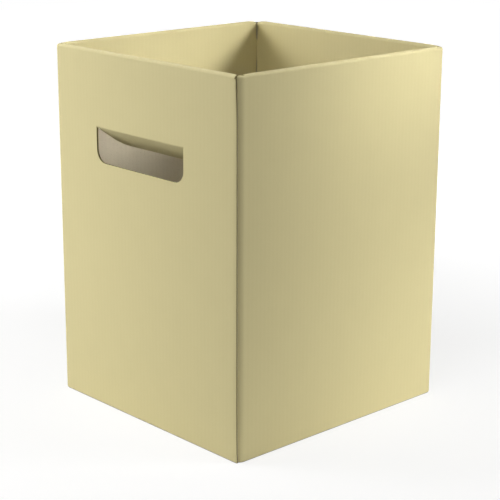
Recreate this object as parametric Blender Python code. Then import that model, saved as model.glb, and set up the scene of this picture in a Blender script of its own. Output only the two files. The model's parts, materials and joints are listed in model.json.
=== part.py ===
"""Open-topped carton of micro-flute board with two hand holes and a turned-in rim.

The carton is one die-cut sheet. Every panel between two creases is its own object, and the bent strips
at the creases are objects too. Metres, +Z up, origin under the middle of the base. The front wall, with
the glued seam at its right edge, faces -Y.
"""
import math

import bpy
from mathutils import Matrix

# Driving dimensions
WIDTH = 0.1808          # outside, across the front wall
DEPTH = 0.1838          # outside, front to back
HEIGHT = 0.2425         # floor to the top of the rim
BOARD = 0.0015          # thickness of the micro-flute board
CLEARANCE = 0.0003      # gap between neighbouring pieces
RIM_RADIUS = 0.0021     # outside radius of the turned-in rim
LINING_DEPTH = 0.045    # how far the turned-in rim panel hangs down
LINING_TAPER = 0.0006   # how much each end of that panel is drawn in at its free edge
HOLE_WIDTH = 0.0867
HOLE_HEIGHT = 0.0240
HOLE_RADIUS = 0.0085    # lower corners of the hand hole
HOLE_TOP_RADIUS = 0.0006
HOLE_BELOW_RIM = 0.0494
FRONT_HOLE_SHIFT = -0.0030
HAND_FLAP_ANGLE = math.radians(55)
SEAM_SETBACK = 0.0019   # the front wall's raw edge stops this far from the corner
SEAM_RADIUS = 0.0034    # outside radius of the bend behind the seam
BEND_DROP = 0.0004      # the corner bends end this far under the top of the rim
GLUE_FLAP_WIDTH = 0.022
GLUE_FLAP_CHAMFER = 0.006
BASE_LIFT = 0.0003      # the base flaps hang just clear of the floor
SIDE_FLAP_DEPTH = 0.062
LOCK_DEPTH = 0.008      # how far each main base flap hooks past the middle
LOCK_SLOPE = 0.005
TAB_DEPTH = 0.040
TAB_INSET = 0.004
TAB_WIDTH = 0.015
CREASE_LIP = 0.0009     # strip of a side base flap outside its crease
CUT_RADIUS = 0.002      # rounding of the die-cut corners of the flaps

# Angles of the base flaps' slanted edges to their own crease
MAIN_FLAP_CUT = math.radians(58)
SIDE_FLAP_CUT = math.radians(36)
SIDE_FLAP_MITRE = math.radians(43)
TAB_CUT = math.radians(34)

# Values that follow from them
HALF_GAP = CLEARANCE / 2
CORNER = 2 * RIM_RADIUS                     # corner radius, and the inset of the corner creases
WALL_TOP = HEIGHT - RIM_RADIUS - HALF_GAP
HOLE_TOP = HEIGHT - HOLE_BELOW_RIM
SEAM_INSET = BOARD + CLEARANCE + SEAM_RADIUS    # where the flat of the right wall starts
SEAM_END = SEAM_RADIUS + CLEARANCE          # where the front rim and the glue flap stop, short of the bend
LOWER_LAYER = BASE_LIFT + BOARD / 2         # middle of the lower layer of base flaps
UPPER_LAYER = LOWER_LAYER + BOARD + CLEARANCE
FLAP_ROOT = BOARD + CLEARANCE               # inset of a base flap's outer edge
SIDE_CREASE = FLAP_ROOT + CREASE_LIP        # inset of the side base flaps' crease
MAIN_CREASE = FLAP_ROOT + BOARD + CLEARANCE # clears the glue flap when the flap stands up
FLAP_END = CORNER + BOARD + CLEARANCE       # base flaps stop this far from the corner
ARC_STEPS = 8

SIDES = ("front", "right", "back", "left")
ON_WALL = Matrix.Rotation(math.radians(90), 4, "X")     # outline drawn along the wall and upwards
ON_FLOOR = Matrix.Identity(4)                           # outline drawn along the wall and inwards
ACROSS_WALL = ON_FLOOR.copy()                           # outline drawn inwards and upwards
ACROSS_WALL.col[0] = (0, 1, 0, 0)
ACROSS_WALL.col[1] = (0, 0, 1, 0)
ACROSS_WALL.col[2] = (1, 0, 0, 0)

COLOURED_LINER = (0.63, 0.56, 0.29, 1)
RAW_LINER = (0.46, 0.41, 0.30, 1)


def clear_scene():
    for item in list(bpy.data.objects):
        bpy.data.objects.remove(item, do_unlink=True)


def board_material(name, colour):
    material = bpy.data.materials.new(name)
    material.use_nodes = True
    shader = material.node_tree.nodes["Principled BSDF"]
    shader.inputs["Base Color"].default_value = colour
    shader.inputs["Roughness"].default_value = 0.8
    shader.inputs["Metallic"].default_value = 0.0
    return material


def half_sizes(side):
    """Half the wall's length, and the distance from the middle of the carton to its outer face."""
    if side in ("front", "back"):
        return WIDTH / 2, DEPTH / 2
    return DEPTH / 2, WIDTH / 2


def side_frame(side):
    """Frame with X along the wall, Y into the carton and its origin under the middle of the carton."""
    return Matrix.Rotation(math.radians(90) * SIDES.index(side), 4, "Z")


def arc(centre, radius, start, end):
    points = []
    for step in range(ARC_STEPS + 1):
        angle = start + (end - start) * step / ARC_STEPS
        points.append((centre[0] + radius * math.cos(angle), centre[1] + radius * math.sin(angle)))
    return points


def rounded(corners):
    """Outline through (x, y, radius) corners, with an arc in place of each corner that has a radius."""
    outline = []
    for index, (x, y, radius) in enumerate(corners):
        before = corners[index - 1]
        after = corners[(index + 1) % len(corners)]
        turn_in = math.atan2(y - before[1], x - before[0])
        turn_out = math.atan2(after[1] - y, after[0] - x)
        turn = (turn_out - turn_in + math.pi) % (2 * math.pi) - math.pi
        if radius == 0:
            outline.append((x, y))
            continue
        left = math.copysign(1, turn)
        setback = radius * abs(math.tan(turn / 2))
        centre_x = x - setback * math.cos(turn_in) - left * radius * math.sin(turn_in)
        centre_y = y - setback * math.sin(turn_in) + left * radius * math.cos(turn_in)
        first = turn_in - left * math.pi / 2
        outline += arc((centre_x, centre_y), radius, first, first + turn)
    return outline


def bent_strip(centre, radius, start, end):
    """Cross-section of a strip of board bent round a crease."""
    trim = HALF_GAP / radius
    outer = arc(centre, radius, start + trim, end - trim)
    inner = arc(centre, radius - BOARD, end - trim, start + trim)
    return outer + inner


class Carton:
    """Collects the pieces, and the empties on the creases that they turn about."""

    def __init__(self):
        self.collection = bpy.data.collections.new("hand_hole_carton")
        bpy.context.scene.collection.children.link(self.collection)
        self.frames = {}
        self.empties = {}

    def crease(self, name, frame, carried_by=None):
        """Empty on the crease that a body turns about."""
        empty = bpy.data.objects.new(name + "_crease", None)
        empty.empty_display_size = 0.01
        self.collection.objects.link(empty)
        self.frames[name] = frame
        self.empties[name] = empty
        self.attach(empty, frame, carried_by)

    def attach(self, item, frame, carried_by):
        if carried_by:
            item.parent = self.empties[carried_by]
            item.matrix_parent_inverse = self.frames[carried_by].inverted()
        item.matrix_basis = frame

    def piece(self, name, loops, thickness, frame, colour, carried_by):
        """Extrude the outline and its holes to a piece of the given thickness."""
        curve = bpy.data.curves.new(name, "CURVE")
        curve.dimensions = "2D"
        curve.fill_mode = "BOTH"
        curve.extrude = thickness / 2
        for loop in loops:
            spline = curve.splines.new("POLY")
            spline.points.add(len(loop) - 1)
            for point, (across, along) in zip(spline.points, loop):
                point.co = (across, along, 0, 1)
            spline.use_cyclic_u = True
        item = bpy.data.objects.new(name, curve)
        curve.materials.append(board_material(name, colour))
        self.collection.objects.link(item)
        self.attach(item, frame, carried_by)


def hole_shift(side):
    return FRONT_HOLE_SHIFT if side == "front" else 0.0


def hand_hole_outline(inset):
    """Flat-topped outline with round lower corners, drawn down from the crease along its top."""
    half = HOLE_WIDTH / 2 - inset
    low = HOLE_HEIGHT - inset
    return rounded([
        (-half, -inset, HOLE_TOP_RADIUS),
        (-half, -low, HOLE_RADIUS),
        (half, -low, HOLE_RADIUS),
        (half, -inset, HOLE_TOP_RADIUS),
    ])


def add_creases(carton):
    """Empties for every body that turns, carried as the real panels carry each other."""
    for side, neighbour in (("left", None), ("back", "left"), ("right", "back")):
        length, away = half_sizes(side)
        corner = Matrix.Translation((length - CORNER, CORNER - away, 0))
        carton.crease(side, side_frame(side) @ corner, neighbour)
    for side in SIDES:
        wall = None if side == "front" else side
        away = half_sizes(side)[1]
        frame = side_frame(side)
        rim = Matrix.Translation((0, RIM_RADIUS - away, HEIGHT - RIM_RADIUS))
        carton.crease(side + "_lining", frame @ rim, wall)
        main = side in ("front", "back")
        inset = MAIN_CREASE if main else SIDE_CREASE
        layer = UPPER_LAYER if main else LOWER_LAYER
        base = Matrix.Translation((0, inset - away, layer + BOARD / 2))
        carton.crease(side + "_base_flap", frame @ base, wall)
        if main:
            hinge = Matrix.Translation((hole_shift(side), BOARD - away, HOLE_TOP))
            pushed_in = Matrix.Rotation(HAND_FLAP_ANGLE, 4, "X")
            carton.crease(side + "_hand_flap", frame @ hinge @ pushed_in, wall)


def wall_span(side):
    """Where the flat of a wall starts and stops, between its corner bends or at the raw edge of the seam."""
    length = half_sizes(side)[0]
    low = (SEAM_INSET if side == "right" else CORNER) + HALF_GAP - length
    high = length - (SEAM_SETBACK if side == "front" else CORNER + HALF_GAP)
    return low, high


def add_wall(carton, side):
    """Flat wall panel. The front one runs on to the raw edge of the seam."""
    away = half_sizes(side)[1]
    low, high = wall_span(side)
    loops = [[(low, 0), (high, 0), (high, WALL_TOP), (low, WALL_TOP)]]
    if side in ("front", "back"):
        hole = hand_hole_outline(0)
        loops.append([(x + hole_shift(side), z + HOLE_TOP) for x, z in hole])
    frame = side_frame(side) @ Matrix.Translation((0, BOARD / 2 - away, 0)) @ ON_WALL
    carton.piece(side + "_wall", loops, BOARD, frame, COLOURED_LINER, None if side == "front" else side)


def add_rim(carton, side):
    """Rolled top edge and the lining panel that hangs from it inside the wall."""
    length, away = half_sizes(side)
    wall = None if side == "front" else side
    low, high = wall_span(side)
    high = min(high, length - SEAM_END)
    roll = bent_strip((RIM_RADIUS - away, HEIGHT - RIM_RADIUS), RIM_RADIUS, math.pi, 0)
    frame = side_frame(side) @ Matrix.Translation(((low + high) / 2, 0, 0)) @ ACROSS_WALL
    carton.piece(side + "_rim_fold", [roll], high - low, frame, COLOURED_LINER, wall)
    inset = CORNER + CLEARANCE
    left_end = max(low, inset - length)
    right_end = min(high, length - inset)
    free_edge = HEIGHT - LINING_DEPTH
    panel = rounded([
        (left_end + LINING_TAPER, free_edge, CUT_RADIUS),
        (right_end - LINING_TAPER, free_edge, CUT_RADIUS),
        (right_end, WALL_TOP, 0),
        (left_end, WALL_TOP, 0),
    ])
    frame = side_frame(side) @ Matrix.Translation((0, CORNER - BOARD / 2 - away, 0)) @ ON_WALL
    carton.piece(side + "_rim_lining", [panel], BOARD, frame, COLOURED_LINER, side + "_lining")


def add_corner_bends(carton):
    """Round vertical bends at three corners, and the bend that goes behind the seam at the fourth."""
    bend_height = HEIGHT - BEND_DROP
    lift = Matrix.Translation((0, 0, bend_height / 2))
    for side, neighbour, carrier in (("front", "left", None), ("left", "back", "left"), ("back", "right", "back")):
        length, away = half_sizes(side)
        bend = bent_strip((CORNER - length, CORNER - away), CORNER, math.pi, 1.5 * math.pi)
        name = side + "_" + neighbour + "_corner"
        carton.piece(name, [bend], bend_height, side_frame(side) @ lift, COLOURED_LINER, carrier)
    length, away = half_sizes("front")
    bend = bent_strip((length - SEAM_RADIUS, SEAM_INSET - away), SEAM_RADIUS, -math.pi / 2, 0)
    carton.piece("seam_corner", [bend], bend_height, lift, COLOURED_LINER, "right")


def add_glue_flap(carton):
    """Flap glued behind the front wall at the seam, chamfered at both ends."""
    length, away = half_sizes("front")
    high = length - SEAM_END
    low = high - GLUE_FLAP_WIDTH
    bottom = UPPER_LAYER + BOARD / 2 + CLEARANCE
    top = HEIGHT - LINING_DEPTH - CLEARANCE
    outline = rounded([
        (high, bottom, 0),
        (high, top, 0),
        (low, top - GLUE_FLAP_CHAMFER, CUT_RADIUS),
        (low, bottom + GLUE_FLAP_CHAMFER, CUT_RADIUS),
    ])
    frame = Matrix.Translation((0, 1.5 * BOARD + CLEARANCE - away, 0)) @ ON_WALL
    carton.piece("glue_flap", [outline], BOARD, frame, RAW_LINER, None)


def add_hand_flap(carton, side):
    """Flap of the hand hole, hinged along the hole's top edge and pushed into the carton."""
    frame = carton.frames[side + "_hand_flap"] @ Matrix.Translation((0, -BOARD / 2, 0)) @ ON_WALL
    outline = hand_hole_outline(CLEARANCE)
    carton.piece(side + "_hand_flap", [outline], BOARD, frame, COLOURED_LINER, side + "_hand_flap")


def add_main_base_flap(carton, side):
    """Main flap of the self-locking base with its hook, and the glued tab under its slanted end."""
    length, away = half_sizes(side)
    body = side + "_base_flap"
    root = FLAP_ROOT - away
    crease = MAIN_CREASE - away
    square_end = FLAP_END - length
    slant_start = length - FLAP_END
    hook = LOCK_DEPTH - CLEARANCE
    step_back = -LOCK_DEPTH - CLEARANCE
    slant_end = slant_start - (hook - crease) / math.tan(MAIN_FLAP_CUT)
    outline = rounded([
        (square_end, root, 0),
        (slant_start, root, 0),
        (slant_start, crease, 0),
        (slant_end, hook, CUT_RADIUS),
        (LOCK_SLOPE, hook, CUT_RADIUS),
        (-LOCK_SLOPE, step_back, CUT_RADIUS),
        (square_end, step_back, CUT_RADIUS),
    ])
    frame = side_frame(side) @ Matrix.Translation((0, 0, UPPER_LAYER))
    carton.piece(body, [outline], BOARD, frame, RAW_LINER, body)

    near = TAB_INSET / math.tan(TAB_CUT)
    far = TAB_DEPTH / math.tan(TAB_CUT)
    tab = rounded([
        (slant_start - near, crease + TAB_INSET, CUT_RADIUS),
        (slant_start - far, crease + TAB_DEPTH, CUT_RADIUS),
        (slant_start - far - TAB_WIDTH, crease + TAB_DEPTH, CUT_RADIUS),
        (slant_start - far + TAB_WIDTH, crease + TAB_INSET, CUT_RADIUS),
    ])
    frame = side_frame(side) @ Matrix.Translation((0, 0, LOWER_LAYER))
    carton.piece(side + "_glue_tab", [tab], BOARD, frame, RAW_LINER, body)


def add_side_base_flap(carton, side):
    """Side flap of the base, in the layer under the main flaps."""
    length, away = half_sizes(side)
    body = side + "_base_flap"
    root = FLAP_ROOT - away
    crease = SIDE_CREASE - away
    free_edge = crease + SIDE_FLAP_DEPTH
    end = length - FLAP_END
    outline = rounded([
        (-end, root, 0),
        (end, root, 0),
        (end, crease, 0),
        (end - SIDE_FLAP_DEPTH / math.tan(SIDE_FLAP_MITRE), free_edge, CUT_RADIUS),
        (-end + SIDE_FLAP_DEPTH / math.tan(SIDE_FLAP_CUT), free_edge, CUT_RADIUS),
        (-end, crease, 0),
    ])
    frame = side_frame(side) @ Matrix.Translation((0, 0, LOWER_LAYER))
    carton.piece(body, [outline], BOARD, frame, RAW_LINER, body)


def build():
    clear_scene()
    carton = Carton()
    add_creases(carton)
    for side in SIDES:
        add_wall(carton, side)
        add_rim(carton, side)
    add_corner_bends(carton)
    add_glue_flap(carton)
    for side in ("front", "back"):
        add_hand_flap(carton, side)
        add_main_base_flap(carton, side)
    for side in ("right", "left"):
        add_side_base_flap(carton, side)


build()
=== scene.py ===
import json
import math

import bmesh
import bpy
from mathutils import Matrix, Vector


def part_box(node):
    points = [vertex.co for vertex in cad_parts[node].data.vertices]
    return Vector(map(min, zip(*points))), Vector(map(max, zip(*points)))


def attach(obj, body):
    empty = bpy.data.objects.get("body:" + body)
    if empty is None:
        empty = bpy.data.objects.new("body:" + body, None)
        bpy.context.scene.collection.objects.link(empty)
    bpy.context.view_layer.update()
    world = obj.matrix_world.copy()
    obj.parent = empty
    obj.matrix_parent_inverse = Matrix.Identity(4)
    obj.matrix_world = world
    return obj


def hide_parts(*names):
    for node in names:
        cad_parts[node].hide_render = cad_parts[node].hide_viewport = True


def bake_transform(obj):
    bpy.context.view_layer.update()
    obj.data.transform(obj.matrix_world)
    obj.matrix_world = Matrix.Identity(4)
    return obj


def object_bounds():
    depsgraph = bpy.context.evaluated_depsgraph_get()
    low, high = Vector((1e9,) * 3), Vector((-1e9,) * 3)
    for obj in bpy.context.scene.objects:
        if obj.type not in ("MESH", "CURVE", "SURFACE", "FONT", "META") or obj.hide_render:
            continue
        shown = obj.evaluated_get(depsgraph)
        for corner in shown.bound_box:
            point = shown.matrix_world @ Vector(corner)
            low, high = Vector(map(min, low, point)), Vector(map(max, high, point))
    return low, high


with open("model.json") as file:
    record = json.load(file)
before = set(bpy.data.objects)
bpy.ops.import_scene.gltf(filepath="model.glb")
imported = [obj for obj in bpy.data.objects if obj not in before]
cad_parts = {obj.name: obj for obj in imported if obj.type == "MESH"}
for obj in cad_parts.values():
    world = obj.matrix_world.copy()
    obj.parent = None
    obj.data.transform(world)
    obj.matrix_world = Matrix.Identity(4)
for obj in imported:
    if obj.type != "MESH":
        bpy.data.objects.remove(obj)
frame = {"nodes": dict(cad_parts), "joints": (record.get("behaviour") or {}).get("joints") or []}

# Sizes read from the frame
CAD_LOW, CAD_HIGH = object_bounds()
WIDTH, DEPTH, HEIGHT = CAD_HIGH - CAD_LOW
BOX_MIDDLE = (CAD_LOW + CAD_HIGH) / 2


def node_size(node):
    low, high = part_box(node)
    return high - low


def joint_named(name):
    return next(joint for joint in frame["joints"] if joint["name"] == name)


MM = 0.001
BOARD = node_size("back_wall").y
RIM_RADIUS = node_size("left_rim_fold").x / 2
CORNER = 2 * RIM_RADIUS
RIM_AXIS = HEIGHT - RIM_RADIUS
HALF_GAP = RIM_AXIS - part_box("back_wall")[1].z
GAP = 2 * HALF_GAP
LINING_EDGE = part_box("left_rim_lining")[0].z
HOLE_TOP = joint_named("front_hand_flap_push")["pos_m"][2]
BEND_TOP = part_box("front_left_corner")[1].z
SEAM_RADIUS = CAD_HIGH.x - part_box("glue_flap")[1].x - GAP
SEAM_INSET = BOARD + GAP + SEAM_RADIUS

# Small forms of the real board that the solids leave out
CRUSH = 0.00014           # crushed edge of a die-cut border
SEAM_CRUSH = 0.0004       # the same on the raw edge of the seam
FOLD_RADIUS = 0.0009      # lower edge of the walls, where the board turns under
RIM_END_DROP = 0.0003     # how far the rolled rim sinks at its free ends
FAR_END_DROP = 0.0009     # the same at the far corner
RIM_END_REACH = 0.008
CUT_RADIUS = 0.002        # lower corners of the linings
SEAM_FLARE = 0.0014       # how much further from the corner the seam's raw edge stops at the rim
SEAM_CLOSING = 0.0007     # how much nearer to the corner it stops at the floor
SEAM_REACH = 0.018        # height over which most of either is gone
FLARE_HEIGHT = 4 * SEAM_REACH
FLUTE_PITCH = 3.4         # millimetres
FAR_FROM_FOLDS = 1000.0   # millimetres, more than any place on the sheet is from a fold
RUBBED_AND_HIGHLIGHT_ANGLE = math.radians(70)  # how far round the roll the rim is rubbed most and painted lightest, as a highlight

# Gap between the two linings that meet at the far corner, as (depth under the rim, gap at each end)
FAR_SLIT = (
    (0.0 * MM, 0.50 * MM),
    (2.0 * MM, 0.68 * MM),
    (12.0 * MM, 0.62 * MM),
    (13.5 * MM, 0.02 * MM),
    (27.0 * MM, 0.02 * MM),
    (28.5 * MM, 0.40 * MM),
    (45.0 * MM, 0.50 * MM),
)

# Unfolded lengths, measured up the sheet from the floor
ROLL_START = RIM_AXIS - HALF_GAP
ROLL_ARC_END = RIM_AXIS + math.pi * RIM_RADIUS
LINING_START = ROLL_ARC_END + HALF_GAP
LINING_END = ROLL_ARC_END + RIM_AXIS - LINING_EDGE

SIDES = ("front", "right", "back", "left")
COLOURED, RAW, CUT = range(3)  # material slots of every piece

# Steps of the meshes
ROLL_STEPS = 24           # round a rim
RIM_STEPS = 24            # along the middle of a rim and of a lining
RIM_END_STEPS = 6         # along each of their ends
LINING_STEPS = 36         # up a lining
CUT_ANGLES = (30, 50, 65, 78)  # of the rows round a lining's lower corners, in degrees
BEND_STEPS = 12           # round a corner
BEND_ROWS = 10            # up a corner
BEND_TOP_ROWS = 6         # up its top, which leans in
FLARE_STEPS = 16          # up each end of the seam's raw edge
SEAM_CRUSH_STEPS = 2
FOLD_STEPS = 4
CREASE_STEPS = 10         # round the crease of a hand flap
CREASE_COLUMNS = 12       # along it
CREASE_SHARE = 0.9        # share of a crease's rows that bend, the rest run on into the flap

# Limits that tell the faces and edges of a board apart
WELD = 1e-6               # points that are nearer than this are one
FLAT_ANGLE = math.radians(1)    # faces that turn less are one
SHARP_ANGLE = math.radians(32)  # edges that turn more are shaded as sharp
BORDER_ANGLE = 1.0        # radians by which a border turns from a face of the board, at least
ALONG_BOARD = 0.5         # an edge that runs through the board less than this is along it
LINER_FACING = 0.3        # a face that looks out of the board more than this is a liner
RAW_EDGE_FACING = 0.9     # a face that looks along the wall more than this is its end

# Camera at the photograph's angle
CAMERA_AZIMUTH = 47.09
CAMERA_ELEVATION = 16.0
CAMERA_ROLL = math.radians(0.27)
CAMERA_DISTANCE = 1.0091
CAMERA_TARGET = Vector((0.0008, 0.0009, 0.1014))
FOCAL_PIXELS = 1472.4
IMAGE_PIXELS = 500
SENSOR = 36.0

# Colours, as linear red, green, blue and alpha
DYED_DARK = (0.585, 0.520, 0.277, 1)
DYED_LIGHT = (0.655, 0.584, 0.318, 1)
# lighter colour along the folds: rubbed wear, and on the rims also a painted highlight
DYED_RUBBED_AND_HIGHLIGHT = (0.700, 0.640, 0.400, 1)
RAW_DARK = (0.475, 0.424, 0.320, 1)
RAW_LIGHT = (0.684, 0.627, 0.496, 1)
RAW_SPECK = (0.220, 0.180, 0.120, 1)
# cut edge colours, darkened as painted shade: the flutes' hollows darkest, the paper darkened as well
CUT_HOLLOW_SHADE = (0.110, 0.092, 0.038, 1)
CUT_PAPER_SHADED = (0.330, 0.288, 0.125, 1)
WHITE = (1, 1, 1, 1)
FLOOR_WHITE = (0.92, 0.92, 0.92, 1)
FLOOR_SHADE = (0.25, 0.25, 0.25, 1)  # share of the floor's white that shows shadows

# Floor and fill
FLOOR_HALF = 2.0
FLOOR_BELOW = 0.0001      # how far under the box it lies
FLOOR_GLOW = (0.15, 0.60, 0.74, 1.00)  # a near and a far distance, and the glow's strength at each
OPEN_SKY = (0.10, 0.48)   # shares of open sky at which the glow starts and is full
FILL_STRENGTH = 0.03


def wall_length(side):
    return WIDTH if side in ("front", "back") else DEPTH


def side_frame(side):
    """Frame with X along the wall, Y inwards from its outer face and Z up from the floor."""
    away = (DEPTH if side in ("front", "back") else WIDTH) / 2
    turn = Matrix.Rotation(math.radians(90) * SIDES.index(side), 4, "Z")
    return turn @ Matrix.Translation((0, -away, 0))


def sheet_start(side):
    """Where the middle of a wall lies along the unfolded sheet, which is cut at the seam."""
    return -(WIDTH + DEPTH) / 2 * (-SIDES.index(side) % len(SIDES))


# Board pieces, made flat with X along the wall, Y through the board and Z up the sheet

def board_from_node(node, to_flat):
    """The CAD piece's own solid, laid flat, without the normals that it was loaded with."""
    solid = frame["nodes"][node].data
    board = bmesh.new()
    points = [board.verts.new(to_flat @ vert.co) for vert in solid.vertices]
    for face in solid.polygons:
        board.faces.new([points[index] for index in face.vertices])
    bmesh.ops.remove_doubles(board, verts=board.verts, dist=WELD)
    bmesh.ops.dissolve_limit(board, angle_limit=FLAT_ANGLE, verts=board.verts, edges=board.edges)
    return board


def board_from_grid(rows, ends, columns):
    """Closed flat board with a row of points at each height, from one end to the other."""
    board = bmesh.new()
    layers = []
    for depth in (0, BOARD):
        layer = []
        for height in rows:
            low, high = ends(height)
            layer.append([board.verts.new((low + (high - low) * share, depth, height)) for share in columns])
        layers.append(layer)
    outer, inner = layers
    for row in range(len(rows) - 1):
        for column in range(len(columns) - 1):
            across = (row, column), (row, column + 1), (row + 1, column + 1), (row + 1, column)
            board.faces.new([outer[r][c] for r, c in across])
            board.faces.new([inner[r][c] for r, c in reversed(across)])
    for row in range(len(rows) - 1):
        for column, turn in ((0, 1), (-1, -1)):
            corners = [outer[row][column], outer[row + 1][column], inner[row + 1][column], inner[row][column]]
            board.faces.new(corners[::turn])
    for column in range(len(columns) - 1):
        for row, turn in ((0, -1), (-1, 1)):
            corners = [outer[row][column], outer[row][column + 1], inner[row][column + 1], inner[row][column]]
            board.faces.new(corners[::turn])
    return board


def even_steps(low, high, count):
    return [low + (high - low) * step / count for step in range(count + 1)]


def border_edges(board, chosen):
    """Edges between a face of the board and its cut border, where chosen says so."""
    found = []
    for edge in board.edges:
        along = edge.verts[1].co - edge.verts[0].co
        middle = (edge.verts[0].co + edge.verts[1].co) / 2
        turns = edge.calc_face_angle(0) > BORDER_ANGLE
        if turns and abs(along.normalized().y) < ALONG_BOARD and chosen(middle):
            found.append(edge)
    return found


def crush_borders(board, is_cut):
    """Small chamfer on every border that the die cut."""
    edges = border_edges(board, is_cut)
    bmesh.ops.bevel(board, geom=edges, offset=CRUSH, segments=1, profile=0.5, affect="EDGES")


def everything(board):
    return board.verts[:] + board.edges[:] + board.faces[:]


def round_lower_fold(board):
    """Round the outer lower edge, where the board turns under, below a row that keeps the wall flat."""
    row = Vector((0, 0, 2 * FOLD_RADIUS))
    bmesh.ops.bisect_plane(board, geom=everything(board), plane_co=row, plane_no=(0, 0, 1))
    edges = border_edges(board, lambda point: point.z < CRUSH and point.y < CRUSH)
    bmesh.ops.bevel(board, geom=edges, offset=FOLD_RADIUS, segments=FOLD_STEPS, profile=0.5, affect="EDGES")


def mark_faces(board, start):
    """Material of each face, and its place on the unfolded sheet."""
    board.normal_update()
    sheet = board.loops.layers.uv.new("sheet")
    cut = board.loops.layers.uv.new("cut")
    for face in board.faces:
        across = face.normal.y
        face.material_index = COLOURED if across < -LINER_FACING else RAW if across > LINER_FACING else CUT
        face.smooth = True
        for loop in face.loops:
            point = loop.vert.co
            loop[sheet].uv = (start + point.x, point.z)
            loop[cut].uv = (start + point.x, point.y / BOARD)


def make_piece(board, name, node, shape, to_world):
    """Shape the flat board, bring it to its place and let it stand for its CAD node."""
    for vert in board.verts:
        vert.co = shape(vert.co)
    bmesh.ops.transform(board, matrix=to_world, verts=board.verts)
    mesh = bpy.data.meshes.new(name)
    board.to_mesh(mesh)
    board.free()
    mesh.set_sharp_from_angle(angle=SHARP_ANGLE)
    for material in (COLOURED_LINER, RAW_LINER, CUT_EDGE):
        mesh.materials.append(material)
    piece = bpy.data.objects.new(name, mesh)
    bpy.context.scene.collection.objects.link(piece)
    if node:
        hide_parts(node)
    return piece


def flat(point):
    return point


# Walls

def add_wall(side):
    """Wall panel with its hand hole, rounded under at the floor. The front one has the seam's raw edge."""
    place = side_frame(side)
    node = side + "_wall"
    board = board_from_node(node, place.inverted())
    low = min(vert.co.x for vert in board.verts)
    high = max(vert.co.x for vert in board.verts)

    def is_cut(point):
        return low + CRUSH < point.x < high - CORNER and CRUSH < point.z < HOLE_TOP - CRUSH

    crush_borders(board, is_cut)
    if side == "front":
        flare_seam_edge(board, high)
    round_lower_fold(board)
    if side == "front":
        crush_seam_edge(board, high)
    mark_faces(board, sheet_start(side))
    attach(make_piece(board, node + "_board", node, flat, place), side)


def crush_seam_edge(board, high):
    """Rounded crush all round the raw edge of the seam."""
    board.normal_update()
    near_seam = [face for face in board.faces if face.calc_center_median().x > high - CORNER]
    raw = {face for face in near_seam if face.normal.x > RAW_EDGE_FACING}
    edges = [edge for edge in board.edges if len(raw.intersection(edge.link_faces)) == 1]
    bmesh.ops.bevel(
        board, geom=edges, offset=SEAM_CRUSH, segments=SEAM_CRUSH_STEPS, profile=0.5, affect="EDGES"
    )


def flare_seam_edge(board, high):
    """Let the raw edge of the seam draw back towards the rim and close in towards the floor."""
    bmesh.ops.bisect_plane(board, geom=everything(board), plane_co=(high - CORNER, 0, 0), plane_no=(1, 0, 0))
    steps = even_steps(0, FLARE_HEIGHT, FLARE_STEPS)[1:]
    for height in steps + [HEIGHT - step for step in steps]:
        strip = [face for face in board.faces if face.calc_center_median().x > high - CORNER]
        geometry = strip + list({item for face in strip for item in list(face.edges) + list(face.verts)})
        bmesh.ops.bisect_plane(board, geom=geometry, plane_co=(0, 0, height), plane_no=(0, 0, 1))
    for vert in board.verts:
        if vert.co.x > high - CRUSH:
            back_at_rim = SEAM_FLARE * math.exp(-(HEIGHT - vert.co.z) / SEAM_REACH)
            on_at_floor = SEAM_CLOSING * math.exp(-vert.co.z / SEAM_REACH)
            vert.co.x += on_at_floor - back_at_rim


# Rim

def rim_span(side):
    """Ends of the rolled rim along its wall."""
    low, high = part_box(side + "_rim_fold")
    to_flat = side_frame(side).inverted()
    return sorted(((to_flat @ low).x, (to_flat @ high).x))


RIM_SPANS = {side: rim_span(side) for side in SIDES}


def rim_drop(side, along):
    """How far the rim sinks near its ends."""
    low, high = RIM_SPANS[side]
    far_end = {"back": high, "left": low}.get(side)
    drop = 0
    for end in (low, high):
        share = max(0, 1 - abs(along - end) / RIM_END_REACH)
        drop += (FAR_END_DROP if end == far_end else RIM_END_DROP) * share * share
    return drop


def add_rim_roll(side):
    """Half-round top edge."""
    low, high = RIM_SPANS[side]
    rows = [ROLL_START] + even_steps(RIM_AXIS, ROLL_ARC_END, ROLL_STEPS) + [LINING_START]
    columns = rim_columns(high - low)
    board = board_from_grid(rows, lambda height: (low, high), columns)
    crush_borders(board, lambda point: not low + CRUSH < point.x < high - CRUSH)
    mark_faces(board, sheet_start(side))

    def roll(point):
        turn = min(max((point.z - RIM_AXIS) / RIM_RADIUS, 0), math.pi)
        flat_before = min(point.z - RIM_AXIS, 0)
        flat_after = max(point.z - ROLL_ARC_END, 0)
        radius = RIM_RADIUS - point.y
        inwards = RIM_RADIUS - radius * math.cos(turn)
        up = RIM_AXIS + radius * math.sin(turn) + flat_before - flat_after
        return Vector((point.x, inwards, up - rim_drop(side, point.x)))

    node = side + "_rim_fold"
    place = side_frame(side)
    piece = make_piece(board, node + "_roll", node, roll, place)
    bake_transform(piece)


def rim_columns(length):
    """Shares of a rim's length, closer together at the ends."""
    ends = even_steps(0, RIM_END_REACH / length, RIM_END_STEPS)
    middle = even_steps(RIM_END_REACH / length, 1 - RIM_END_REACH / length, RIM_STEPS)
    return ends[:-1] + middle + [1 - share for share in reversed(ends[:-1])]


def slit(depth):
    """Gap at the far corner, read between the points of FAR_SLIT."""
    for (before, gap), (after, next_gap) in zip(FAR_SLIT, FAR_SLIT[1:]):
        if depth <= after:
            return gap + (next_gap - gap) * max(0, depth - before) / (after - before)
    return FAR_SLIT[-1][1]


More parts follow.
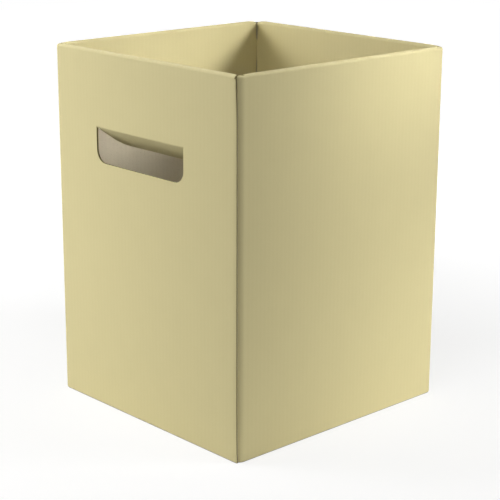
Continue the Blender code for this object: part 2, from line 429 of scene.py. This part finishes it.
def lining_ends(side, height):
    """Both ends of a lining at a height on the sheet: the far corner's slit and rounded lower corners."""
    low, high = RIM_SPANS[side]
    half = wall_length(side) / 2
    depth = HEIGHT - (ROLL_ARC_END + RIM_AXIS - height)
    low_inset = slit(depth) if side == "left" else max(2 * GAP, low + half + HALF_GAP - CORNER)
    high_inset = slit(depth) if side == "back" else max(2 * GAP, half - high + HALF_GAP - CORNER)
    past_straight = max(0, height - (LINING_END - CUT_RADIUS))
    rounding = CUT_RADIUS - math.sqrt(max(0, CUT_RADIUS ** 2 - past_straight ** 2))
    inner_half = half - CORNER - rounding
    return low_inset - inner_half, inner_half - high_inset


def add_lining(side):
    """Turned-in panel that hangs inside the wall, coloured side inwards."""
    length = wall_length(side)
    rows = even_steps(LINING_START, LINING_END - CUT_RADIUS, LINING_STEPS)
    rows += [LINING_END - CUT_RADIUS * math.cos(math.radians(angle)) for angle in CUT_ANGLES]
    rows.append(LINING_END - CRUSH / 2)
    board = board_from_grid(rows, lambda height: lining_ends(side, height), rim_columns(length))

    def is_cut(point):
        first, last = lining_ends(side, point.z)
        in_far_corner = {"left": point.x < first + CRUSH, "back": point.x > last - CRUSH}.get(side, False)
        return point.z > LINING_START + CRUSH and not in_far_corner

    crush_borders(board, is_cut)
    mark_faces(board, sheet_start(side))

    def hang(point):
        up = RIM_AXIS - (point.z - ROLL_ARC_END)
        return Vector((point.x, CORNER - point.y, up - rim_drop(side, point.x)))

    node = side + "_rim_lining"
    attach(make_piece(board, node + "_board", node, hang, side_frame(side)), side + "_lining")


# Corners

def bend_rows():
    """Heights up a bend, close together where its top leans in."""
    return even_steps(0, RIM_AXIS, BEND_ROWS) + even_steps(RIM_AXIS, BEND_TOP, BEND_TOP_ROWS)[1:]


def lean(height):
    """How far the top of a bend leans in, to follow the roll of the rims beside it."""
    above = max(0, height - RIM_AXIS)
    return RIM_RADIUS - math.sqrt(RIM_RADIUS ** 2 - above ** 2)


def sunk(height, drop):
    """Height of a point of a bend, whose top sinks with the rims beside it."""
    return height - drop * max(0, height - RIM_AXIS) / (BEND_TOP - RIM_AXIS)


def finish_bend(board, side):
    """Borders and liners of a bend, whose coloured liner is pressed over its top."""
    crush_borders(board, lambda point: point.z > BEND_TOP - CRUSH)
    round_lower_fold(board)
    mark_faces(board, sheet_start(side))
    for face in board.faces:
        if face.calc_center_median().z > BEND_TOP - CRUSH:
            face.material_index = COLOURED


def add_corner_bend(side, neighbour):
    """Round vertical bend between a wall's low end and the wall next to it."""
    crease = -wall_length(side) / 2
    low = crease - CORNER - HALF_GAP
    high = crease + CORNER + HALF_GAP
    bent = [(HALF_GAP + step) / (high - low) for step in even_steps(0, 2 * CORNER, BEND_STEPS)]
    shares = [0] + bent + [1]
    board = board_from_grid(bend_rows(), lambda height: (low, high), shares)
    finish_bend(board, side)
    drop = FAR_END_DROP if side == "left" else RIM_END_DROP

    def bend(point):
        share = min(max((point.x - crease + CORNER) / (2 * CORNER), 0), 1)
        before = min(point.x - crease + CORNER, 0)
        after = max(point.x - crease - CORNER, 0)
        angle = math.pi + share * math.pi / 2
        radius = CORNER - point.y - lean(point.z)
        along = crease + CORNER + radius * math.cos(angle) + after
        inwards = CORNER + radius * math.sin(angle) - before
        return Vector((along, inwards, sunk(point.z, drop)))

    node = side + "_" + neighbour + "_corner"
    place = side_frame(side)
    piece = make_piece(board, node + "_bend", node, bend, place)
    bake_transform(piece)


def add_seam_bend():
    """Bend of the right wall that goes behind the front wall's raw edge."""
    half = WIDTH / 2
    arc = SEAM_RADIUS * math.pi / 2
    low = -DEPTH / 2
    bent = [(GAP + step) / (arc + GAP + HALF_GAP) for step in even_steps(0, arc, BEND_STEPS)]
    shares = [0] + bent + [1]
    span = (low - GAP, low + arc + HALF_GAP)
    board = board_from_grid(bend_rows(), lambda height: span, shares)
    finish_bend(board, "right")

    def bend(point):
        reach = point.x - low
        share = min(max(reach / arc, 0), 1)
        angle = (share - 1) * math.pi / 2
        radius = SEAM_RADIUS - point.y - lean(point.z)
        along = half - SEAM_RADIUS + radius * math.cos(angle) + min(reach, 0)
        inwards = SEAM_INSET + radius * math.sin(angle) + max(reach - arc, 0)
        return Vector((along, inwards, sunk(point.z, RIM_END_DROP)))

    piece = make_piece(board, "seam_corner_bend", "seam_corner", bend, side_frame("front"))
    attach(piece, "right")


# Flaps

def add_flat_flap(node, to_flat, side, body, is_cut=lambda point: True):
    """Flap that keeps its CAD outline, with crushed borders and the board's two liners."""
    board = board_from_node(node, to_flat)
    crush_borders(board, is_cut)
    mark_faces(board, sheet_start(side))
    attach(make_piece(board, node + "_board", node, flat, to_flat.inverted()), body)


def add_glue_flap():
    behind_front = Matrix.Translation((0, -BOARD - GAP, 0)) @ side_frame("front").inverted()
    add_flat_flap("glue_flap", behind_front, "front", "front")


def add_hand_flap(side):
    """Flap of the hand hole. Its joint's lower limit is the angle back to the plane of the wall."""
    node = side + "_hand_flap"
    joint = joint_named(node + "_push")
    hinge = Matrix.Translation(Vector(joint["pos_m"]))
    shut = Matrix.Rotation(math.radians(joint["range_deg"][0]), 4, Vector(joint["axis"]))
    to_flat = side_frame(side).inverted() @ hinge @ shut @ hinge.inverted()
    add_flat_flap(node, to_flat, side, node, lambda point: point.z < HOLE_TOP - GAP - CRUSH)
    add_hand_flap_crease(side, joint)


def add_hand_flap_crease(side, joint):
    """Crease that carries the coloured liner from the wall round into its hand flap."""
    place = side_frame(side)
    pushed_in = -math.radians(joint["range_deg"][0])
    middle = (place.inverted() @ Vector(joint["pos_m"])).x
    half = node_size(side + "_hand_flap").x / 2
    rows = even_steps(HOLE_TOP - GAP, HOLE_TOP, CREASE_STEPS)
    columns = even_steps(0, 1, CREASE_COLUMNS)
    board = board_from_grid(rows, lambda height: (middle - half, middle + half), columns)
    mark_faces(board, sheet_start(side))

    def turn_in(point):
        share = (HOLE_TOP - point.z) / GAP
        angle = min(share / CREASE_SHARE, 1) * pushed_in
        beyond = max(share - CREASE_SHARE, 0) / (1 - CREASE_SHARE) * GAP
        radius = BOARD - point.y
        inwards = BOARD - radius * math.cos(angle) + beyond * math.sin(angle)
        up = HOLE_TOP - radius * math.sin(angle) - beyond * math.cos(angle)
        return Vector((point.x, inwards, up))

    piece = make_piece(board, side + "_hand_flap_crease", None, turn_in, place)
    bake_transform(piece)


def add_base_flap(node, side, body):
    """Flap of the base, coloured underneath. Its sheet goes on below the foot of the wall."""
    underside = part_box(node)[0].z
    fold_down = Matrix.Rotation(math.radians(-90), 4, "X") @ Matrix.Translation((0, 0, -underside))
    add_flat_flap(node, fold_down @ side_frame(side).inverted(), side, body)


# Materials

class Shader:
    """Adds nodes to one material."""

    def __init__(self, name):
        self.material = bpy.data.materials.new(name)
        self.material.use_nodes = True
        self.tree = self.material.node_tree
        self.surface = self.tree.nodes["Principled BSDF"]

    def node(self, kind, **settings):
        made = self.tree.nodes.new("ShaderNode" + kind)
        for name, value in settings.items():
            setattr(made, name, value)
        return made

    def feed(self, socket, value):
        if isinstance(value, bpy.types.NodeSocket):
            self.tree.links.new(value, socket)
        else:
            socket.default_value = value

    def math(self, operation, first, second=0.0):
        made = self.node("Math", operation=operation)
        self.feed(made.inputs[0], first)
        self.feed(made.inputs[1], second)
        return made.outputs[0]

    def stretch(self, value, from_low, from_high, to_low=0.0, to_high=1.0):
        """Smooth step from one range to another."""
        made = self.node("MapRange", interpolation_type="SMOOTHSTEP")
        made.inputs["From Min"].default_value = from_low
        made.inputs["From Max"].default_value = from_high
        made.inputs["To Min"].default_value = to_low
        made.inputs["To Max"].default_value = to_high
        self.feed(made.inputs["Value"], value)
        return made.outputs["Result"]

    def mix(self, share, first, second):
        made = self.node("Mix", data_type="RGBA")
        self.feed(made.inputs["Factor"], share)
        self.feed(made.inputs["A"], first)
        self.feed(made.inputs["B"], second)
        return made.outputs["Result"]

    def sheet_place(self):
        """Place on the unfolded sheet, in millimetres."""
        place = self.node("UVMap", uv_map="sheet")
        scale = self.node("VectorMath", operation="SCALE")
        scale.inputs["Scale"].default_value = 1 / MM
        self.feed(scale.inputs[0], place.outputs["UV"])
        return scale.outputs["Vector"]

    def split(self, vector):
        made = self.node("SeparateXYZ")
        self.feed(made.inputs[0], vector)
        return made.outputs[0], made.outputs[1]

    def noise(self, vector, across, up, detail=2.0, roughness=0.5):
        """Noise with features of these sizes, in the vector's units."""
        spread = self.node("Mapping")
        spread.inputs["Scale"].default_value = (1 / across, 1 / up, 1)
        self.feed(spread.inputs["Vector"], vector)
        made = self.node("TexNoise")
        made.inputs["Scale"].default_value = 1.0
        made.inputs["Detail"].default_value = detail
        made.inputs["Roughness"].default_value = roughness
        self.feed(made.inputs["Vector"], spread.outputs["Vector"])
        return made.outputs["Fac"]

    def flutes(self, across):
        """Wave of the flutes under the liner."""
        return self.math("SINE", self.math("MULTIPLY", across, 2 * math.pi / FLUTE_PITCH))

    def add_up(self, start, *terms):
        """start plus each (value, weight)."""
        total = start
        for value, weight in terms:
            total = self.math("ADD", total, self.math("MULTIPLY", value, weight))
        return total

    def bump(self, height, distance, normal=None):
        made = self.node("Bump")
        made.inputs["Distance"].default_value = distance
        self.feed(made.inputs["Height"], height)
        if normal:
            self.feed(made.inputs["Normal"], normal)
        return made.outputs["Normal"]


def crease_distance(shader, across, up):
    """Distance in millimetres to the nearest fold of the sheet."""
    corners = [-WIDTH / 2, -WIDTH / 2 - DEPTH, -1.5 * WIDTH - DEPTH]
    folds = [(across, corner) for corner in corners]
    folds += [(up, 0.0), (up, RIM_AXIS + RIM_RADIUS * RUBBED_AND_HIGHLIGHT_ANGLE)]
    nearest = FAR_FROM_FOLDS
    for place, fold in folds:
        away = shader.math("ABSOLUTE", shader.math("SUBTRACT", place, fold / MM))
        nearest = shader.math("MINIMUM", away, nearest)
    return nearest


def coloured_liner():
    """Smooth dyed liner with faint fibre, cloudy formation, washboarding over the flutes and folds painted
    lighter, as rubbed wear and, round the rims, as a painted highlight.
    """
    shader = Shader("coloured_liner")
    place = shader.sheet_place()
    across, up = shader.split(place)
    cloud = shader.noise(place, across=14, up=22, detail=3)
    fibre = shader.noise(place, across=1.6, up=0.5, detail=3, roughness=0.65)
    grain = shader.noise(place, across=0.22, up=0.22, detail=1)
    drift = shader.noise(place, across=30, up=60)
    flutes = shader.flutes(shader.add_up(across, (drift, 1.2)))
    tone = shader.add_up(0.15, (cloud, 0.35), (fibre, 0.30), (flutes, 0.06))
    liner = shader.mix(tone, DYED_DARK, DYED_LIGHT)
    # lighter along the folds: rubbed wear, and round the rims also a painted highlight
    near_fold = shader.stretch(crease_distance(shader, across, up), 0.3, 1.8, to_low=1.0, to_high=0.0)
    patches = shader.stretch(shader.noise(place, across=5, up=5, detail=4), 0.42, 0.62)
    wear_and_highlight = shader.math("MULTIPLY", shader.math("MULTIPLY", near_fold, patches), 0.35)
    surface = shader.surface
    shader.feed(surface.inputs["Base Color"], shader.mix(wear_and_highlight, liner, DYED_RUBBED_AND_HIGHLIGHT))
    shader.feed(surface.inputs["Roughness"], shader.add_up(0.60, (fibre, 0.12), (wear_and_highlight, 0.3)))
    surface.inputs["Specular IOR Level"].default_value = 0.15
    waves = shader.bump(flutes, distance=0.000002)
    nap = shader.add_up(fibre, (grain, 0.5))
    shader.feed(surface.inputs["Normal"], shader.bump(nap, distance=0.00002, normal=waves))
    return shader.material


def raw_liner():
    """Unbleached grey-brown liner with long fibres, specks and the flutes showing through."""
    shader = Shader("raw_liner")
    place = shader.sheet_place()
    cloud = shader.noise(place, across=9, up=9, detail=4)
    fibre = shader.noise(place, across=3.0, up=0.45, detail=4, roughness=0.7)
    specks = shader.stretch(shader.noise(place, across=0.7, up=0.5), 0.66, 0.74)
    flutes = shader.flutes(shader.split(place)[0])
    tone = shader.add_up(0.05, (cloud, 0.45), (fibre, 0.45), (flutes, 0.03))
    liner = shader.mix(tone, RAW_DARK, RAW_LIGHT)
    surface = shader.surface
    shader.feed(surface.inputs["Base Color"], shader.mix(specks, liner, RAW_SPECK))
    shader.feed(surface.inputs["Roughness"], shader.add_up(0.78, (fibre, 0.14)))
    surface.inputs["Specular IOR Level"].default_value = 0.12
    waves = shader.bump(flutes, distance=0.00001)
    shader.feed(surface.inputs["Normal"], shader.bump(fibre, distance=0.00004, normal=waves))
    return shader.material


def cut_edge():
    """Die-cut edge: two liners and a fluted sheet, in shares of the board's thickness. Its colours are
    painted shade: the hollows between the flutes are painted dark, and the paper is darkened too.
    """
    shader = Shader("cut_edge")
    cut = shader.node("UVMap", uv_map="cut")
    along, depth = shader.split(cut.outputs["UV"])
    middle = 0.5
    swing = 0.32
    wave = shader.flutes(shader.math("DIVIDE", along, MM))
    off_flute = shader.math("SUBTRACT", depth, shader.add_up(middle, (wave, swing)))
    flute = shader.stretch(shader.math("ABSOLUTE", off_flute), 0.10, 0.20, to_low=1.0, to_high=0.0)
    off_middle = shader.math("SUBTRACT", depth, middle)
    liners = shader.stretch(shader.math("ABSOLUTE", off_middle), 0.34, 0.40)
    crumbs = shader.noise(shader.sheet_place(), across=0.35, up=0.35, detail=3)
    ragged = shader.add_up(shader.math("MAXIMUM", flute, liners), (crumbs, 0.5))
    solid = shader.stretch(ragged, 0.55, 0.95)
    surface = shader.surface
    # painted shade: dark in the flutes' hollows, darkened paper elsewhere
    shader.feed(surface.inputs["Base Color"], shader.mix(solid, CUT_HOLLOW_SHADE, CUT_PAPER_SHADED))
    shader.feed(surface.inputs["Roughness"], shader.add_up(0.8, (crumbs, 0.2)))
    surface.inputs["Specular IOR Level"].default_value = 0.1
    shader.feed(surface.inputs["Normal"], shader.bump(solid, distance=0.0002))
    return shader.material


# Stage

def direction(azimuth, elevation):
    """Direction seen from the object, with azimuth 0 in front of it."""
    turn = math.radians(azimuth)
    rise = math.radians(elevation)
    return Vector((math.sin(turn) * math.cos(rise), -math.cos(turn) * math.cos(rise), math.sin(rise)))


def add_camera():
    back = direction(CAMERA_AZIMUTH, CAMERA_ELEVATION)
    data = bpy.data.cameras.new("camera")
    data.sensor_width = SENSOR
    data.lens = SENSOR * FOCAL_PIXELS / IMAGE_PIXELS
    camera = bpy.data.objects.new("camera", data)
    camera.rotation_mode = "QUATERNION"
    camera.location = CAMERA_TARGET + back * CAMERA_DISTANCE
    roll = Matrix.Rotation(CAMERA_ROLL, 3, "Z").to_quaternion()
    camera.rotation_quaternion = (-back).to_track_quat("-Z", "Y") @ roll
    bpy.context.scene.collection.objects.link(camera)
    bpy.context.scene.camera = camera


def add_softbox(name, azimuth, elevation, distance, power, aim=BOX_MIDDLE, spread=180, size_share=0.4):
    """Square softbox, sized as a share of its distance. A narrow spread is a softbox with a grid."""
    data = bpy.data.lights.new(name, "AREA")
    data.shape = "SQUARE"
    data.size = size_share * distance
    data.energy = power
    data.spread = math.radians(spread)
    lamp = bpy.data.objects.new(name, data)
    lamp.location = BOX_MIDDLE + direction(azimuth, elevation) * distance
    lamp.rotation_mode = "QUATERNION"
    lamp.rotation_quaternion = (aim - lamp.location).to_track_quat("-Z", "Y")
    lamp.visible_camera = False
    bpy.context.scene.collection.objects.link(lamp)


def add_lights():
    """Soft light from both sides and above, with grids for the feet, the left inside and the near rims."""
    right_foot = Vector((WIDTH / 2, 0.6 * DEPTH, HEIGHT / 6))
    left_foot = Vector((-0.6 * WIDTH, -DEPTH / 2, HEIGHT / 6))
    left_lining = Vector((-WIDTH / 2, -DEPTH / 6, 0.96 * HEIGHT))
    far_lining = Vector((-WIDTH / 2, DEPTH / 6, 0.97 * HEIGHT))
    left_inside = Vector((-WIDTH / 2, -0.4 * DEPTH, 0.64 * HEIGHT))
    near_rims = Vector((WIDTH / 2, -DEPTH / 4, HEIGHT))
    add_softbox("right_softbox", azimuth=128, elevation=29, distance=0.90, power=2.53, size_share=0.2)
    add_softbox("left_softbox", azimuth=-50, elevation=32, distance=1.10, power=3.45, size_share=0.3)
    add_softbox("left_near_softbox", azimuth=-36, elevation=25, distance=0.60, power=0.88, size_share=0.3)
    add_softbox("left_overhead", azimuth=-64, elevation=45, distance=0.50, power=0.41)
    add_softbox("front_overhead", azimuth=32, elevation=55, distance=1.00, power=2.76)
    add_softbox(
        "right_foot_grid", azimuth=120, elevation=10, distance=0.60, power=0.142,
        aim=right_foot, spread=40,
    )
    add_softbox(
        "left_foot_grid", azimuth=-30, elevation=8, distance=0.70, power=0.071,
        aim=left_foot, spread=40,
    )
    add_softbox(
        "lining_grid", azimuth=135, elevation=40, distance=0.80, power=0.047,
        aim=left_lining, spread=26, size_share=0.15,
    )
    add_softbox(
        "low_lining_grid", azimuth=115, elevation=21, distance=0.80, power=0.031,
        aim=left_lining, spread=26, size_share=0.15,
    )
    add_softbox(
        "far_lining_grid", azimuth=122, elevation=25.5, distance=0.80, power=0.012,
        aim=far_lining, spread=16, size_share=0.15,
    )
    add_softbox(
        "inside_grid", azimuth=130, elevation=30, distance=0.80, power=0.0148,
        aim=left_inside, spread=10, size_share=0.15,
    )
    add_softbox(
        "rim_grid", azimuth=47, elevation=76, distance=0.60, power=0.029,
        aim=near_rims, spread=36,
    )


def seen_directly(tree):
    """1 where a ray comes from the camera, a mirror or glass."""
    path = tree.nodes.new("ShaderNodeLightPath")
    total = path.outputs["Is Camera Ray"]
    for kind in ("Is Glossy Ray", "Is Transmission Ray"):
        either = tree.nodes.new("ShaderNodeMath")
        either.operation = "MAXIMUM"
        tree.links.new(total, either.inputs[0])
        tree.links.new(path.outputs[kind], either.inputs[1])
        total = either.outputs[0]
    return total


def add_world():
    """White behind the object, and a soft even fill for everything else."""
    world = bpy.data.worlds.new("studio")
    world.use_nodes = True
    tree = world.node_tree
    fill = tree.nodes["Background"]
    fill.inputs["Color"].default_value = WHITE
    fill.inputs["Strength"].default_value = FILL_STRENGTH
    white = tree.nodes.new("ShaderNodeBackground")
    white.inputs["Color"].default_value = WHITE
    white.inputs["Strength"].default_value = 1.0
    mix = tree.nodes.new("ShaderNodeMixShader")
    tree.links.new(seen_directly(tree), mix.inputs["Fac"])
    tree.links.new(fill.outputs["Background"], mix.inputs[1])
    tree.links.new(white.outputs["Background"], mix.inputs[2])
    tree.links.new(mix.outputs["Shader"], tree.nodes["World Output"].inputs["Surface"])
    bpy.context.scene.world = world


def floor_material():
    """White floor. Seen directly it mostly shows its own white, into the backdrop but not under the box."""
    shader = Shader("floor")
    lit = shader.surface
    lit.inputs["Base Color"].default_value = FLOOR_WHITE
    lit.inputs["Roughness"].default_value = 0.9
    lit.inputs["Specular IOR Level"].default_value = 0.0
    shade = shader.node("BsdfDiffuse")
    shade.inputs["Color"].default_value = FLOOR_SHADE
    place = shader.node("TexCoord")
    from_box = shader.node("VectorMath", operation="LENGTH")
    shader.feed(from_box.inputs[0], place.outputs["Object"])
    open_sky = shader.node("AmbientOcclusion")
    open_sky.inputs["Distance"].default_value = 2 * HEIGHT
    uncovered = shader.stretch(open_sky.outputs["AO"], *OPEN_SKY)
    glow = shader.math("MULTIPLY", shader.stretch(from_box.outputs["Value"], *FLOOR_GLOW), uncovered)
    white = shader.node("Emission")
    shader.feed(white.inputs["Strength"], glow)
    shown = shader.node("AddShader")
    shader.feed(shown.inputs[0], shade.outputs["BSDF"])
    shader.feed(shown.inputs[1], white.outputs["Emission"])
    mix = shader.node("MixShader")
    shader.feed(mix.inputs["Fac"], seen_directly(shader.tree))
    shader.feed(mix.inputs[1], lit.outputs["BSDF"])
    shader.feed(mix.inputs[2], shown.outputs["Shader"])
    shader.feed(shader.tree.nodes["Material Output"].inputs["Surface"], mix.outputs["Shader"])
    return shader.material


def add_floor():
    half = FLOOR_HALF
    mesh = bpy.data.meshes.new("floor")
    corners = [(-half, -half, 0), (half, -half, 0), (half, half, 0), (-half, half, 0)]
    mesh.from_pydata(corners, [], [(0, 1, 2, 3)])
    mesh.materials.append(floor_material())
    floor = bpy.data.objects.new("floor", mesh)
    floor.location.z = -FLOOR_BELOW
    bpy.context.scene.collection.objects.link(floor)


COLOURED_LINER = coloured_liner()
RAW_LINER = raw_liner()
CUT_EDGE = cut_edge()

for wall in SIDES:
    add_wall(wall)
    add_rim_roll(wall)
    add_lining(wall)
for wall, next_wall in (("front", "left"), ("left", "back"), ("back", "right")):
    add_corner_bend(wall, next_wall)
add_seam_bend()
add_glue_flap()
for wall in ("front", "back"):
    add_hand_flap(wall)
    add_base_flap(wall + "_glue_tab", wall, wall + "_base_flap")
for wall in SIDES:
    add_base_flap(wall + "_base_flap", wall, wall + "_base_flap")

bpy.context.scene.view_settings.view_transform = "Standard"
add_camera()
add_lights()
add_world()
add_floor()
